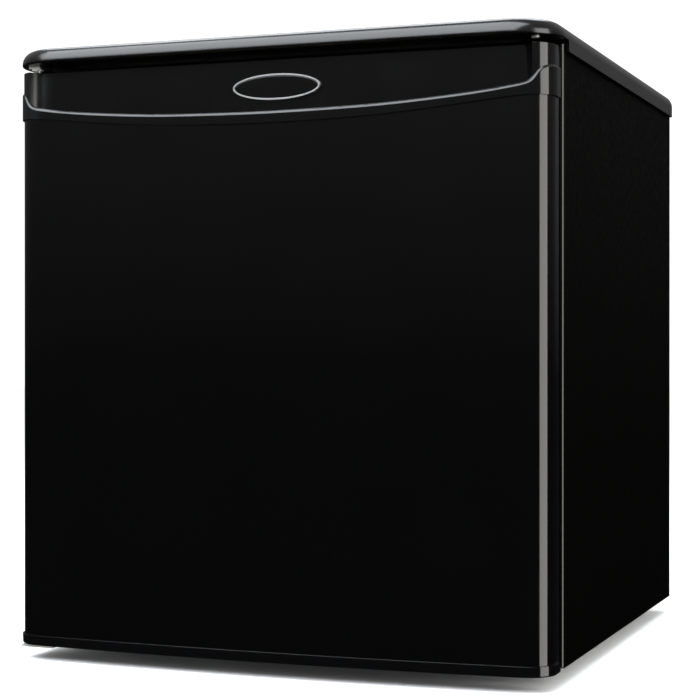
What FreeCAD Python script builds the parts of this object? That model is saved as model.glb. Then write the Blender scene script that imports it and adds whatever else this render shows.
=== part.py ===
"""A compact one-door refrigerator, 450 wide, 470 deep and 490 high, as an assembly of its separate pieces.

Frame: +Z up, the door faces -Y, the origin is on the floor under the middle of the overall box. Millimetres.
Driving sizes live in the sheet "dims"; every piece takes its size and place from them.
"""

import FreeCAD, Part

import math
import os

import Sketcher
from FreeCAD import Placement, Rotation, Vector

doc = FreeCAD.newDocument("compact_refrigerator")
sheet = doc.addObject("Spreadsheet::Sheet", "dims")
made = []


class Size:
    """A length in millimetres together with the sheet expression that gives it."""

    def __init__(self, value, text):
        self.value = value
        self.text = text

    def mixed(self, other, sign, value, turned=False):
        theirs = other.text if isinstance(other, Size) else repr(float(other))
        left, right = (theirs, self.text) if turned else (self.text, theirs)
        return Size(value, f"({left} {sign} {right})")

    def __add__(self, other):
        return self.mixed(other, "+", self.value + float(other))

    def __radd__(self, other):
        return self.mixed(other, "+", float(other) + self.value, True)

    def __sub__(self, other):
        return self.mixed(other, "-", self.value - float(other))

    def __rsub__(self, other):
        return self.mixed(other, "-", float(other) - self.value, True)

    def __mul__(self, other):
        return self.mixed(other, "*", self.value * float(other))

    def __rmul__(self, other):
        return self.mixed(other, "*", float(other) * self.value, True)

    def __truediv__(self, other):
        return self.mixed(other, "/", self.value / float(other))

    def __neg__(self):
        return Size(-self.value, f"(0 - {self.text})")

    def __float__(self):
        return float(self.value)


def cell(alias, value):
    """Writes one driving size to the sheet and returns it."""
    row = len(cell.rows) + 1
    cell.rows.append(alias)
    sheet.set(f"A{row}", alias)
    sheet.set(f"B{row}", str(value))
    sheet.setAlias(f"B{row}", alias)
    return Size(float(value), f"dims.{alias}")


cell.rows = []

# ---------------------------------------------------------------- driving sizes
overall_w = cell("overall_w", 450)          # across the worktop
overall_d = cell("overall_d", 470)          # door front to rear wall spacers
overall_ht = cell("overall_ht", 490)        # floor to worktop
foot_ht = cell("foot_ht", 14)               # floor to the underside of the cabinet
side_lap = cell("side_lap", 3)              # worktop past each side panel
spacer_t = cell("spacer_t", 6)              # wall spacers behind the side panels
sheet_t = cell("sheet_t", 0.8)              # painted sheet steel
nose_t = cell("nose_t", 12.5)               # worktop nose over the door
nose_back = cell("nose_back", 1.5)          # worktop nose behind the middle of the door face
skirt_t = cell("skirt_t", 20)               # worktop skirt round the cabinet
top_wall = cell("top_wall", 2.7)            # worktop wall thickness
top_corner = cell("top_corner", 38)         # worktop front corners, seen from above
top_round = cell("top_round", 10.5)         # worktop upper edge rounding
nose_round = cell("nose_round", 1.5)        # worktop lower edge rounding
skirt_back = cell("skirt_back", 5.5)        # cabinet front to the start of the deep skirt
door_depth = cell("door_depth", 47.5)       # cabinet front to the middle of the door face
door_bow = cell("door_bow", 10)             # how far the door face bows out
door_corner = cell("door_corner", 22)       # vertical corners of the door
door_gap = cell("door_gap", 9)              # cabinet front to the back of the door
door_top_gap = cell("door_top_gap", 5.5)    # worktop nose to door top
door_drop = cell("door_drop", 1.5)          # door bottom below the cabinet
cap_proud = cell("cap_proud", 1.5)          # door caps proud of the door skin
column_in = cell("column_in", 1.2)          # top cap corners behind its band
cap_wall = cell("cap_wall", 2.5)            # moulded wall of the door caps
cap_skirt = cell("cap_skirt", 1.3)          # thinner wall where a cap laps the skin
pocket_half = cell("pocket_half", 208)      # half width of the hand pocket
pocket_back = cell("pocket_back", 26)       # pocket wall to the cabinet front plane
pocket_round = cell("pocket_round", 14)     # pocket wall into its ends
grip_t = cell("grip_t", 8)                  # moulded lip the fingers hold
grip_deep = cell("grip_deep", 22)           # finger trough below the lip
lip_round = cell("lip_round", 2)            # lip's outer edge
lip_mid = cell("lip_mid", 41.9)             # door top down to the middle of the lip
lip_rise = cell("lip_rise", 12.2)           # lip ends above its middle
trim_mid = cell("trim_mid", 50.8)           # door top down to the middle of the cap's lower edge
trim_rise = cell("trim_rise", 13)           # cap's lower edge ends above its middle
base_trim = cell("base_trim", 8)            # visible height of the bottom cap
wall_t = cell("wall_t", 36)                 # insulated side wall
roof_t = cell("roof_t", 37)                 # insulated roof
floor_t = cell("floor_t", 36)               # insulated floor
back_t = cell("back_t", 52)                 # insulated back wall
liner_t = cell("liner_t", 1.5)              # vacuum-formed liner sheet
liner_round = cell("liner_round", 12)       # rounding inside the liner
bay_ht = cell("bay_ht", 142)                # compressor bay
bay_depth = cell("bay_depth", 154)
recess = cell("recess", 24)                 # back panel set in from the rear edges
rear_fold = cell("rear_fold", 14)           # rear flange of the side panels
hinge_in = cell("hinge_in", 15)             # hinge axis from the door's side
hinge_back = cell("hinge_back", 24.5)       # hinge axis to the cabinet front plane
pin_r = cell("pin_r", 3)                    # hinge pin radius
pin_play = cell("pin_play", 0.05)           # running clearance of the pin in its bush
bush_wall = cell("bush_wall", 2)
bracket_t = cell("bracket_t", 2)            # hinge plate
seal_w = cell("seal_w", 17)                 # door seal, seen from the back
seal_inset = cell("seal_inset", 16)         # door edge to the seal
seal_play = cell("seal_play", 0.4)          # closed seal to the cabinet
dyke_half = cell("dyke_half", 172)          # raised frame on the door liner
dyke_w = cell("dyke_w", 11)
dyke_out = cell("dyke_out", 12)             # frame past the cabinet front
bin_reach = cell("bin_reach", 76)           # door bins past the cabinet front
bin_ht = cell("bin_ht", 60)
bin_wall = cell("bin_wall", 2)
bin_low = cell("bin_low", 23)               # liner floor to the lower bin
bin_high = cell("bin_high", 129)            # liner floor to the middle bin
evap_x0 = cell("evap_x0", -170)             # ice compartment, left side
evap_x1 = cell("evap_x1", 95)               # ice compartment, right side
evap_drop = cell("evap_drop", 14)           # liner roof to the ice compartment
evap_ht = cell("evap_ht", 92)
evap_front = cell("evap_front", 130)        # cabinet front to the ice compartment
evap_t = cell("evap_t", 1.6)
flap_t = cell("flap_t", 8)                  # ice compartment flap
tray_ht = cell("tray_ht", 18)               # drip tray
shelf_level = cell("shelf_level", 207)      # liner floor to the upper shelf
half_level = cell("half_level", 104)        # liner floor to the lower shelf
shelf_front = cell("shelf_front", 84)       # cabinet front to the shelves
wire_r = cell("wire_r", 1.5)                # shelf wires
frame_r = cell("frame_r", 3)                # shelf frame
runner_w = cell("runner_w", 8)              # liner runners that carry the shelves
can_r = cell("can_r", 56)                   # compressor can
can_ht = cell("can_ht", 100)
tube_r = cell("tube_r", 2.4)                # condenser tube
run_pitch = cell("run_pitch", 25)           # condenser tube runs
knob_r = cell("knob_r", 17)
fit = cell("fit", 0.3)                      # clearance between pieces that seat on each other
skin_fit = cell("skin_fit", 0.1)            # clearance between bonded sheets and foam
screw_r = cell("screw_r", 2)
screw_head = cell("screw_head", 4)
foot_r = cell("foot_r", 14)
foot_in = cell("foot_in", 57)               # feet in from the side panels
doc.recompute()

# ---------------------------------------------------------------- planes that several pieces share
half_w = overall_w / 2 - side_lap           # cabinet and door side planes
face_y = -overall_d / 2                     # middle of the door face
front_y = face_y + door_depth               # cabinet front plane
rear_y = overall_d / 2 - spacer_t           # rear edges of the side panels
panel_y = rear_y - recess                   # back panel, outer face
under_z = foot_ht                           # cabinet underside
skirt_z = overall_ht - skirt_t              # lower edge of the worktop skirt
nose_z = overall_ht - nose_t                # underside of the worktop nose
roof_z = nose_z - bracket_t - 0.2           # top of the cabinet
door_z0 = under_z - door_drop
door_z1 = nose_z - door_top_gap
door_y = front_y - door_gap                 # back of the door
room_half = half_w - wall_t                 # food compartment
room_z0 = under_z + floor_t
room_z1 = roof_z - roof_t
room_y1 = panel_y - back_t
bay_z = under_z + bay_ht
bay_y = rear_y - bay_depth
step_z = bay_z + floor_t - 6                # liner step over the compressor bay
step_y = bay_y - floor_t + 4
hinge_x = -half_w + hinge_in
hinge_y = front_y - hinge_back
inside_half = half_w - sheet_t - skin_fit   # between the side panels
return_w = wall_t - liner_t * 2             # front return of the side panels


def point(x, y, z):
    return Vector(float(x), float(y), float(z))


# ---------------------------------------------------------------- ways of making a piece
def bind(thing, prop, size):
    """Ties one property of a document object to the sheet."""
    if isinstance(size, Size):
        thing.setExpression(prop, size.text)
    else:
        thing.setExpression(prop, repr(float(size)))


def place(thing, x, y, z):
    for letter, size in zip("xyz", (x, y, z)):
        bind(thing, f".Placement.Base.{letter}", size)


def keep(thing, label):
    """Marks an object as a finished piece and gives it its label."""
    thing.Label = label
    made.append(thing)
    return thing


def block(name, x0, x1, y0, y1, z0, z1):
    """A Part::Box between six planes."""
    box = doc.addObject("Part::Box", name)
    for prop, low, high in (("Length", x0, x1), ("Width", y0, y1), ("Height", z0, z1)):
        bind(box, prop, high - low)
    place(box, x0, y0, z0)
    return box


def rod(name, x, y, z, radius, length, turn=None):
    """A Part::Cylinder standing on a point, along +Z or turned to another axis."""
    bar = doc.addObject("Part::Cylinder", name)
    bind(bar, "Radius", radius)
    bind(bar, "Height", length)
    if turn:
        bar.Placement = Placement(Vector(), turn)
    place(bar, x, y, z)
    return bar


def cut(name, base, *tools):
    for n, tool in enumerate(tools):
        step = doc.addObject("Part::Cut", f"{name}_{n}")
        step.Base = base
        step.Tool = tool
        base = step
    return base


def fuse(name, *things):
    joined = doc.addObject("Part::MultiFuse", name)
    joined.Shapes = list(things)
    return joined


def group(name, things):
    """Several separate solids kept as one piece, such as a set of screws."""
    several = doc.addObject("Part::Compound", name)
    several.Links = list(things)
    return several


def feature(label, shape, where=None):
    """A piece whose shape is set directly."""
    thing = doc.addObject("Part::Feature", label)
    thing.Shape = shape
    if where:
        thing.Placement = where
    return keep(thing, label)


def sketch_on(body, role, outline, name):
    """A closed outline of straight lines on an origin plane, each corner tied to the sheet."""
    plane = [f for f in body.Origin.OriginFeatures if f.Role == role][0]
    sketch = body.newObject("Sketcher::SketchObject", name)
    sketch.AttachmentSupport = [(plane, "")]
    sketch.MapMode = "FlatFace"
    count = len(outline)
    spots = [Vector(float(u), float(v), 0) for u, v in outline]
    for n in range(count):
        sketch.addGeometry(Part.LineSegment(spots[n], spots[(n + 1) % count]))
    for n in range(count):
        sketch.addConstraint(Sketcher.Constraint("Coincident", n, 2, (n + 1) % count, 1))
    for n, (u, v) in enumerate(outline):
        for kind, size in (("DistanceX", u), ("DistanceY", v)):
            label = f"{kind}_{n}"
            at = sketch.addConstraint(Sketcher.Constraint(kind, -1, 1, n, 1, float(size)))
            sketch.renameConstraint(at, label)
            if isinstance(size, Size):
                sketch.setExpression(f"Constraints.{label}", size.text)
    return sketch


def turned(label, outline, x, y, z, turn=None):
    """A body revolved about its own Z axis from an outline of (radius, height) corners."""
    body = doc.addObject("PartDesign::Body", label)
    sketch = sketch_on(body, "XZ_Plane", outline, f"{label}_outline")
    spin = body.newObject("PartDesign::Revolution", f"{label}_turning")
    spin.Profile = sketch
    spin.ReferenceAxis = (sketch, ["V_Axis"])
    spin.Angle = 360
    body.Tip = spin
    if turn:
        body.Placement = Placement(Vector(), turn)
    place(body, x, y, z)
    return body


def padded(label, outline, height, x, y, z, role="XY_Plane"):
    """A body padded from an outline on one of its origin planes."""
    body = doc.addObject("PartDesign::Body", label)
    sketch = sketch_on(body, role, outline, f"{label}_outline")
    pad = body.newObject("PartDesign::Pad", f"{label}_pad")
    pad.Profile = sketch
    bind(pad, "Length", height)
    body.Tip = pad
    place(body, x, y, z)
    return body


def box_shape(x0, x1, y0, y1, z0, z1):
    low, high = point(x0, y0, z0), point(x1, y1, z1)
    return Part.makeBox(high.x - low.x, high.y - low.y, high.z - low.z, low)


def rod_shape(start, end, radius):
    return Part.makeCylinder(float(radius), (end - start).Length, start, end - start)


def bent_path(corners, bend):
    """Straight runs joined by tangent arcs of one bend radius."""
    edges = []
    last = corners[0]
    for before, here, after in zip(corners, corners[1:], corners[2:]):
        back = (before - here).normalize()
        ahead = (after - here).normalize()
        half = back.getAngle(ahead) / 2
        reach = bend / math.tan(half)
        middle = here + (back + ahead).normalize() * (bend / math.sin(half) - bend)
        start, end = here + back * reach, here + ahead * reach
        edges.append(Part.LineSegment(last, start).toShape())
        edges.append(Part.Arc(start, middle, end).toShape())
        last = end
    edges.append(Part.LineSegment(last, corners[-1]).toShape())
    return Part.Wire(edges)


def bent_ring(corners, bend):
    """A closed path round four corners, from the middle of its first side."""
    start = (corners[0] + corners[1]) / 2
    return bent_path([start, *corners[1:], corners[0], start], bend)


def tube(corners, radius, bend):
    """A solid bar or tube along straight runs and arcs."""
    path = bent_path(corners, float(bend))
    ring = Part.Wire(Part.Circle(corners[0], corners[1] - corners[0], float(radius)).toShape())
    return path.makePipeShell([ring], True, False)


def rounded(body, radius, chosen, name):
    """Adds a PartDesign fillet on the body's edges that the test accepts."""
    doc.recompute()
    base = body.Tip
    edges = [f"Edge{n + 1}" for n, edge in enumerate(base.Shape.Edges) if chosen(edge)]
    fillet = body.newObject("PartDesign::Fillet", f"{name}_fillet")
    fillet.Base = (base, edges)
    bind(fillet, "Radius", radius)
    body.Tip = fillet


def upright(edge):
    ends = [v.Point for v in edge.Vertexes]
    return len(ends) == 2 and abs(ends[0].x - ends[1].x) < 1e-6 and abs(ends[0].y - ends[1].y) < 1e-6


def at_height(shape, z):
    return [e for e in shape.Edges if all(abs(v.Point.z - float(z)) < 1e-6 for v in e.Vertexes)]


# ================================================================ cabinet shell
# Two side panels folded from painted sheet, with a wide front return and a narrow rear one.
along_x = Rotation(Vector(0, 0, 1), Vector(1, 0, 0))
along_back = Rotation(Vector(0, 0, 1), Vector(0, 1, 0))
front_holes = [(-hinge_x + 7, under_z + 7), (-hinge_x - 12, under_z + 7)]
spacer_x = half_w - 8
spacer_zs = (under_z + 40, roof_z - 60)


def side_panel(label, side):
    outline = [
        (side * (half_w - return_w), front_y),
        (side * half_w, front_y),
        (side * half_w, rear_y),
        (side * (half_w - rear_fold), rear_y),
        (side * (half_w - rear_fold), rear_y - sheet_t),
        (side * (half_w - sheet_t), rear_y - sheet_t),
        (side * (half_w - sheet_t), front_y + sheet_t),
        (side * (half_w - return_w), front_y + sheet_t),
    ]
    body = padded(label, outline, roof_z - under_z, 0, 0, under_z)

    def fold(edge, x, y):
        spot = edge.Vertexes[0].Point
        return upright(edge) and abs(abs(spot.x) - float(x)) < 0.01 and abs(spot.y - float(y)) < 0.01

    rounded(body, 3, lambda e: fold(e, half_w, front_y), f"{label}_outer")
    rounded(body, 3 - sheet_t, lambda e: fold(e, half_w - sheet_t, front_y + sheet_t), f"{label}_inner")
    body.Label = f"{label}_blank"
    spots = [(side * x, front_y - 4, z) for x, z in front_holes] + [(side * spacer_x, rear_y - 4, z)
                                                                    for z in spacer_zs]
    holes = [rod(f"{label}_hole_{n}", x, y, z, screw_r + 0.2, 8, along_back)
             for n, (x, y, z) in enumerate(spots)]
    keep(cut(f"{label}_drilled", body, *holes), label)


side_panel("side_panel_left", -1)
side_panel("side_panel_right", 1)

# Roof sheet with its rear edge turned up to take the worktop screws.
roof_end = rear_y - top_wall - fit - 2      # clear of the rounding inside the worktop
sheet_y = front_y + sheet_t * 2 + 1
roof_outline = [
    (sheet_y, roof_z - sheet_t),
    (roof_end, roof_z - sheet_t),
    (roof_end, roof_z + 8),
    (roof_end - sheet_t, roof_z + 8),
    (roof_end - sheet_t, roof_z),
    (sheet_y, roof_z),
]
roof = padded("roof_blank", roof_outline, inside_half * 2, -inside_half, 0, 0, "YZ_Plane")
lid_screws = [(n * 150, rear_y, roof_z + 4) for n in (-1, 1)]
top_screws = [(hinge_x + 2, front_y + 16), (hinge_x + 24, front_y + 16), (hinge_x + 12, front_y + 34)]
roof_holes = [rod(f"roof_rear_hole_{n}", x, y - 10, z, screw_r + 0.1, 12, along_back)
              for n, (x, y, z) in enumerate(lid_screws)]
roof_holes += [rod(f"roof_hinge_hole_{n}", x, y, roof_z - 4, screw_r + 0.1, 8)
               for n, (x, y) in enumerate(top_screws)]
roof_corners = [block(f"roof_corner_{n}", x, x + 8, roof_end - 2, roof_end + 1, roof_z + 4, roof_z + 9)
                for n, x in enumerate((-inside_half - 1, inside_half - 7))]
keep(cut("roof_drilled", roof, *roof_holes, *roof_corners), "roof_sheet")

rail_half = half_w - return_w - fit
keep(block("front_rail_top", -rail_half, rail_half, front_y, front_y + sheet_t, room_z1 + liner_t * 2,
           roof_z - sheet_t - skin_fit), "front_rail_top")
keep(block("front_rail_bottom", -rail_half, rail_half, front_y, front_y + sheet_t,
           under_z + sheet_t + skin_fit, room_z0 - liner_t * 2), "front_rail_bottom")

# Base sheet: floor, the riser in front of the compressor bay and the bay's ceiling, folded from one strip.
base_outline = [
    (sheet_y, under_z),
    (bay_y, under_z),
    (bay_y, bay_z - sheet_t),
    (panel_y, bay_z - sheet_t),
    (panel_y, bay_z),
    (bay_y - sheet_t, bay_z),
    (bay_y - sheet_t, under_z + sheet_t),
    (sheet_y, under_z + sheet_t),
]
foot_x = half_w - foot_in
foot_y = front_y + 52
socket_r = cell("socket_r", 9)
socket_ht = cell("socket_ht", 28)
stem_r = cell("stem_r", 4)
base_body = padded("base_strip", base_outline, inside_half * 2, -inside_half, 0, 0, "YZ_Plane")
base_holes = [rod(f"base_hole_{n}", side * foot_x, foot_y, under_z - 1, socket_r + skin_fit, 4)
              for n, side in enumerate((-1, 1))]
keep(cut("base_sheet", base_body, *base_holes), "base_sheet")
keep(block("back_panel", -inside_half, inside_half, panel_y - sheet_t, panel_y, bay_z + skin_fit,
           roof_z - sheet_t - skin_fit), "back_panel")


# ================================================================ liner and insulation
def room(grow):
    """The food compartment as a solid, grown by a wall thickness, with the step over the compressor bay."""
    g = float(grow)
    half = float(room_half) + g
    y0 = float(front_y + sheet_t + skin_fit)
    tall = box_shape(-half, half, y0, float(room_y1) + g, float(step_z) - g, float(room_z1) + g)
    deep = box_shape(-half, half, y0, float(step_y) + g, float(room_z0) - g, float(room_z1) + g)
    whole = tall.fuse(deep).removeSplitter()
    edges = [e for e in whole.Edges if max(v.Point.y for v in e.Vertexes) > y0 + 1e-3]
    return whole.makeFillet(float(liner_round) + g, edges)


flange_w = 8
flange = box_shape(-half_w + return_w - flange_w, half_w - return_w + flange_w, front_y + sheet_t + skin_fit,
                   front_y + sheet_t + skin_fit + liner_t, room_z0 - liner_t * 2 - flange_w,
                   room_z1 + liner_t * 2 + flange_w)
liner = room(liner_t).fuse(flange).cut(room(0))


def runner(level, y1, side):
    """A shelf runner formed in the liner's side wall, rounded along its inner edges."""
    x0 = room_half - runner_w
    top = room_z0 + level - frame_r - fit
    strip = box_shape(x0, room_half + liner_t / 2, front_y + shelf_front - 20, y1, top - 9, top)
    strip = strip.makeFillet(2.5, [e for e in strip.Edges
                                   if all(abs(v.Point.x - float(x0)) < 1e-6 for v in e.Vertexes)])
    return strip if side > 0 else strip.mirror(Vector(), Vector(1, 0, 0))


for side in (-1, 1):
    liner = liner.fuse(runner(shelf_level, room_y1 - liner_round, side))
    liner = liner.fuse(runner(half_level, step_y - liner_round, side))
feature("inner_liner", liner.removeSplitter())

foam = box_shape(-inside_half + skin_fit, inside_half - skin_fit, front_y + sheet_t + liner_t + 0.3,
                 panel_y - sheet_t - skin_fit, under_z + sheet_t + skin_fit, roof_z - sheet_t - skin_fit)
foam = foam.cut(box_shape(-half_w, half_w, bay_y - sheet_t - skin_fit, rear_y, under_z - 1, bay_z + skin_fit))
foam = foam.cut(room(liner_t + skin_fit))
screw_ways = [(point(x, y, roof_z), Vector(0, 0, -1)) for x, y in top_screws]
screw_ways += [(point(side * x, front_y, z), Vector(0, 1, 0)) for side in (-1, 1) for x, z in front_holes]
for start, way in screw_ways:
    foam = foam.cut(rod_shape(start, start + way * 8.5, screw_r + 0.1))
for side in (-1, 1):
    foam = foam.cut(rod_shape(point(side * foot_x.value, foot_y, under_z - 1),
                              point(side * foot_x.value, foot_y, under_z + socket_ht + skin_fit),
                              socket_r + skin_fit))
feature("cabinet_insulation", foam)


# ================================================================ worktop
# One moulded lid: a nose over the door, a deeper skirt round the cabinet, hollow and ribbed under its deck.
spare_x, spare_y = -hinge_x, hinge_y        # the nose's plugged hole over the unused hinge place


def lid_form(inset, z0, z1):
    """The lid's plan and rounded upper edge, set in by a wall."""
    y0, y1 = float(face_y + nose_back), float(rear_y)
    half = float(overall_w) / 2 - inset
    form = box_shape(-half, half, y0 + inset, y1 - inset, z0, z1)
    front_corners = [e for e in form.Edges if upright(e) and e.Vertexes[0].Y < 0]
    form = form.makeFillet(float(top_corner) - inset, front_corners)
    rear_corners = [e for e in form.Edges if upright(e) and e.Vertexes[0].Y > y1 - inset - 0.1]
    form = form.makeFillet(4.5 - inset, rear_corners)
    return form.makeFillet(float(top_round) - inset, at_height(form, z1))


def worktop():
    y0, y1 = float(face_y + nose_back), float(rear_y)
    half, wall = float(overall_w) / 2, float(top_wall)
    skirt_y = float(front_y + skirt_back)
    deck = float(overall_ht) - wall * 1.5
    slab = lid_form(0, skirt_z, float(overall_ht))
    slab = slab.cut(box_shape(-half - 1, half + 1, y0 - 1, skirt_y, skirt_z - 1, nose_z))
    nose_edge = [e for e in at_height(slab, nose_z) if max(v.Y for v in e.Vertexes) < skirt_y - 0.1
                 and min(v.Y for v in e.Vertexes) < y0 + 0.1]
    slab = slab.makeFillet(float(nose_round), nose_edge)
    hollow = lid_form(wall, float(skirt_z) - 1, deck)
    nose = hollow.common(box_shape(-half, half, y0, y1, nose_z + wall, deck + 1))
    under = hollow.common(box_shape(-half, half, skirt_y + wall, y1, skirt_z - 2, deck + 1))
    slab = slab.cut(nose).cut(under)
    slab = slab.cut(box_shape(-half_w - fit, half_w + fit, front_y - 0.01, y1 + 1, skirt_z - 1,
                              roof_z + skin_fit))
    for side in (-1, 1):
        x = side * float(half_w - 26)
        slab = slab.cut(box_shape(x - 25, x + 25, front_y - 1, skirt_y + wall + 1, roof_z - 1, nose_z))
    slab = slab.cut(rod_shape(point(spare_x, spare_y, nose_z - 1), point(spare_x, spare_y, nose_z + wall + 1),
                              screw_r + 0.2))
    ribs = [box_shape(n * half / 3 - 1, n * half / 3 + 1, y0 + wall, y1 - wall - 3, nose_z + wall * 1.5,
                      deck + 0.1) for n in (-2, -1, 0, 1, 2)]
    ribs = [rib.common(lid_form(0.5, skirt_z, float(overall_ht) - 0.5)) for rib in ribs]
    return slab.fuse(ribs).removeSplitter()


lid = worktop()
for x, y, z in lid_screws:
    lid = lid.cut(rod_shape(point(x, y - 10, z), point(x, y + 5, z), screw_r + 0.2))
feature("worktop", lid)


def screw_shape(at, along, shank):
    """A pan-head screw: the head's underside at a point, its shank running along a direction."""
    head_t = float(screw_head) * 0.5
    head = rod_shape(at - along * head_t, at, screw_head)
    rim = [e for e in head.Edges if abs((e.CenterOfMass - (at - along * head_t)).dot(along)) < 1e-6]
    head = head.makeFillet(head_t * 0.6, rim)
    slots = [box_shape(-0.4, 0.4, -2.2, 2.2, -1, 0.9), box_shape(-2.2, 2.2, -0.4, 0.4, -1, 0.9)]
    turn = Rotation(Vector(0, 0, 1), along)
    for slot in slots:
        slot.Placement = Placement(at - along * head_t, turn)
        head = head.cut(slot)
    return head.fuse(rod_shape(at, at + along * float(shank), screw_r)).removeSplitter()


feature("worktop_screws", Part.makeCompound([screw_shape(point(*spot), Vector(0, -1, 0), 9)
                                             for spot in lid_screws]))


# ================================================================ door
bow_r = (float(half_w) ** 2 + float(door_bow) ** 2) / (2 * float(door_bow))


def door_block(inset, z0, z1, back=0.0):
    """The door's plan, bowed face and rounded corners, set in by a wall and raised between two heights."""
    inset = float(inset)
    half = float(half_w) - inset
    radius = bow_r - inset
    middle = float(face_y) + bow_r
    y_end = middle - math.sqrt(radius ** 2 - half ** 2)
    y_back = float(door_y) - float(back)
    z = float(z0)
    left, right = point(-half, y_end, z), point(half, y_end, z)
    edges = [
        Part.Arc(left, point(0, middle - radius, z), right).toShape(),
        Part.LineSegment(right, point(half, y_back, z)).toShape(),
        Part.LineSegment(point(half, y_back, z), point(-half, y_back, z)).toShape(),
        Part.LineSegment(point(-half, y_back, z), left).toShape(),
    ]
    solid = Part.Face(Part.Wire(edges)).extrude(point(0, 0, float(z1) - z))
    return solid.makeFillet(float(door_corner) - inset,
                            [e for e in solid.Edges if upright(e) and e.Vertexes[0].Y < y_back - 1])


# How the lip and the lower edge of the top cap climb from the middle to the sides: (half width, climb).
lip_climb = [(0, 0), (0.23, 0.057), (0.43, 0.18), (0.61, 0.41), (0.8, 0.76), (0.89, 1.0), (0.925, 1.2),
             (0.942, 1.58), (0.957, 1.93), (0.982, 2.17), (1.01, 2.24)]
trim_climb = [(0, 0), (0.25, 0.07), (0.5, 0.3), (0.77, 0.75), (0.92, 0.98), (1.01, 1.0)]


def above(climb, z_mid, rise, y0, y1):
    """Everything above a climbing line, as a slab between two planes that face the front."""
    half = float(half_w)
    right = [point(x * half, y0, float(z_mid) + rise * c) for x, c in climb]
    left = [Vector(-p.x, p.y, p.z) for p in reversed(right[1:])]
    line = Part.BSplineCurve()
    line.interpolate(left + right)
    top = float(door_z1) + 40
    end, start = right[-1], left[0]
    edges = [
        line.toShape(),
        Part.LineSegment(end, point(end.x, y0, top)).toShape(),
        Part.LineSegment(point(end.x, y0, top), point(start.x, y0, top)).toShape(),
        Part.LineSegment(point(start.x, y0, top), start).toShape(),
    ]
    return Part.Face(Part.Wire(edges)).extrude(point(0, float(y1) - float(y0), 0))


lip_z = door_z1 - lip_mid
trim_z = door_z1 - trim_mid
pocket_y = front_y - pocket_back
y_out = face_y - 20
y_in = door_y + 20


def above_lip(dz, y1=y_in):
    return above(lip_climb, float(lip_z) + dz, float(lip_rise), y_out, y1)


def above_trim(dz):
    return above(trim_climb, float(trim_z) + dz, float(trim_rise), y_out, y_in)


def hand_pocket(grow):
    """The recess over the lip and the finger trough behind it, grown by a wall thickness."""
    g = float(grow)
    half = float(pocket_half) + g
    mouth = box_shape(-half, half, y_out, float(pocket_y) + g, float(trim_z) - 60, float(door_z1) + 20)
    mouth = mouth.makeFillet(float(pocket_round) + g,
                             [e for e in mouth.Edges if upright(e) and e.Vertexes[0].Y > float(pocket_y) - 1])
    mouth = mouth.common(above_lip(-g))
    trough_half = float(pocket_half) - 30 + g
    z0 = float(trim_z) - 60
    trough = door_block(float(grip_t) - g, z0, float(door_z1) + 20, 0)
    trough = trough.common(box_shape(-trough_half, trough_half, y_out, float(pocket_y) + g, z0, door_z1 + 20))
    trough_floor = float(lip_z) - float(grip_deep) - g
    trough = trough.common(above(lip_climb, trough_floor, float(lip_rise), y_out, y_in))
    return mouth.fuse(trough)


rear_frame = float(seal_inset) - 2.0        # cap and skin returns behind the door
z_low, z_high = float(trim_z) - 20, float(door_z1)
band = door_block(0, z_low, z_high).cut(above_lip(0))
lip_edges = [e for e in band.Edges if e.BoundBox.ZMin > float(lip_z) - 1 and not upright(e)
             and e.BoundBox.YMin < float(door_y) - 1]
band = band.makeFillet(float(lip_round), lip_edges)
columns = door_block(column_in, z_low, z_high).common(above_lip(-1))
cap = band.fuse(columns).common(above_trim(0))
cap_hollow = door_block(cap_wall, z_low, z_high - float(cap_wall), cap_wall).cut(hand_pocket(cap_wall))
lap = door_block(cap_skirt, z_low, z_high, -5).cut(above_trim(7))
window = box_shape(-half_w + rear_frame, half_w - rear_frame, door_y - cap_wall - 1, door_y + 1, z_low,
                   z_high - rear_frame)
cap = cap.cut(hand_pocket(0)).cut(cap_hollow).cut(lap).cut(window)
bush_r = pin_r + pin_play + bush_wall
bush_deep = 14
cap = cap.cut(rod_shape(point(hinge_x, hinge_y, z_high - bush_deep - 1.1),
                        point(hinge_x, hinge_y, z_high + 1), bush_r + 0.05))
feature("door_top_cap", cap.removeSplitter())

# Door skin: thin painted steel, wrapped round the sides with narrow returns behind.
skin_in = float(cap_proud)
skin_top = above_trim(6.4)
skin_z0 = float(door_z0 + cap_wall) + 0.1
skin = door_block(skin_in, skin_z0, z_high).cut(door_block(skin_in + 0.6, skin_z0 - 1, z_high + 1, 0.6))
skin = skin.cut(box_shape(-half_w + rear_frame, half_w - rear_frame, door_y - 1, door_y + 1, skin_z0 - 1,
                          z_high + 1))
skin = skin.cut(skin_top)
feature("door_skin", skin.removeSplitter())

# Bottom cap: floor, a rim that laps the skin and a low rear wall.
z_floor = float(door_z0)
foot_cap = door_block(0, z_floor, z_floor + float(base_trim))
foot_cap = foot_cap.cut(door_block(cap_skirt, z_floor + float(cap_wall), z_floor + 40, -5))
rear_wall = box_shape(-half_w + rear_frame + 0.3, half_w - rear_frame - 0.3, door_y - cap_wall, door_y,
                      z_floor + 1, z_floor + rear_frame)
foot_cap = foot_cap.fuse(rear_wall)
lower_rim = [e for e in at_height(foot_cap, z_floor) if min(v.Y for v in e.Vertexes) < float(door_y) - 0.1]
foot_cap = foot_cap.makeChamfer(1.0, lower_rim)
foot_cap = foot_cap.cut(rod_shape(point(hinge_x, hinge_y, z_floor - 1), point(hinge_x, hinge_y, z_floor + 10),
                                  bush_r + 0.05))
feature("door_bottom_cap", foot_cap.removeSplitter())


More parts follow.
